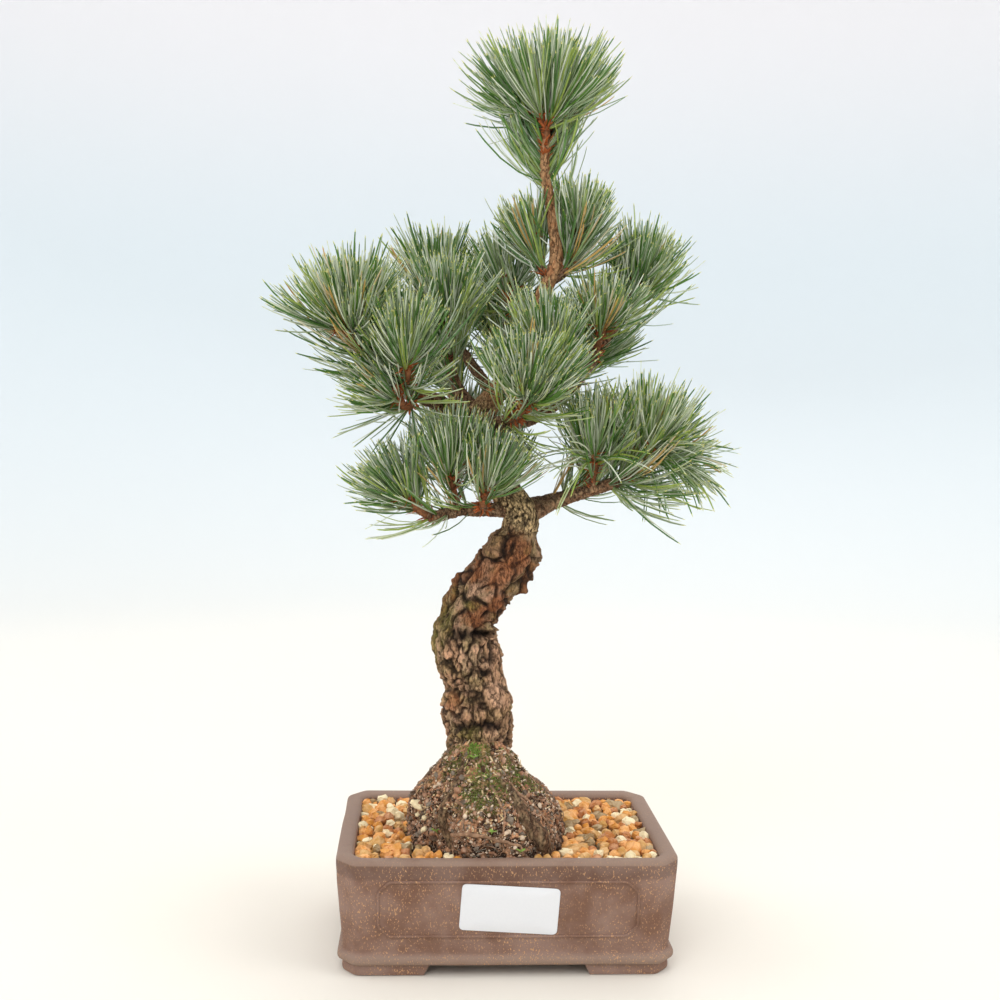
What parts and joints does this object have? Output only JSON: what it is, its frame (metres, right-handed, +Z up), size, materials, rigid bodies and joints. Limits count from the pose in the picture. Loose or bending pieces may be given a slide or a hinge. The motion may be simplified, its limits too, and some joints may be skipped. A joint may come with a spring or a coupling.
{
  "type": "japanese white pine bonsai",
  "caption": "Small potted Japanese white pine bonsai: a bent trunk with open tufts of blue-green needles, in a brown unglazed rectangular pot with gravel.",
  "frame": {"origin": "on the level the pot's feet stand on, under the middle of the whole tree's bounding box", "axes": "+Z up, the tree's long way; the pot's labelled front and the tree's best side face -Y; +Y is the shortest way of the box, front to back; +X is to the right as seen from the front"},
  "size_m": [0.2152, 0.16, 0.4317],
  "materials": {
    "pot": "matte",
    "label": "satin",
    "soil": "matte",
    "root_mound": "matte",
    "gravel": "matte",
    "trunk": "matte",
    "bough": "matte",
    "needles": "matte"
  },
  "bodies": {
    "root": {"pot": "pot", "label": "label", "soil": "soil", "root_mound": "root_mound", "gravel": "gravel", "trunk": "trunk", "bough_low_left": "bough", "twig_low_left": "bough", "twig_low_front": "bough", "bough_low_right": "bough", "twig_low_right": "bough", "bough_low_back": "bough", "bough_low_back_right": "bough", "bough_left": "bough", "twig_left_low": "bough", "twig_left_front": "bough", "bough_middle": "bough", "bough_front": "bough", "bough_right": "bough", "twig_right": "bough", "bough_inner_right": "bough", "bough_back_left": "bough", "bough_back_left_high": "bough", "bough_back": "bough", "bough_back_right": "bough", "twig_high_back": "bough", "twig_high_right": "bough", "twig_high_left": "bough", "needles_apex": "needles", "needles_high_right": "needles", "needles_high_left": "needles", "needles_high_back": "needles", "needles_right": "needles", "needles_inner_right": "needles", "needles_front": "needles", "needles_centre": "needles", "needles_middle": "needles", "needles_far_left": "needles", "needles_left_front": "needles", "needles_left_low": "needles", "needles_low_far_left": "needles", "needles_low_left": "needles", "needles_low_front": "needles", "needles_low_inner_right": "needles", "needles_low_right": "needles", "needles_low_back": "needles", "needles_low_back_right": "needles", "needles_back_left": "needles", "needles_back_left_high": "needles", "needles_back": "needles", "needles_back_right": "needles"}
  },
  "joints": []
}
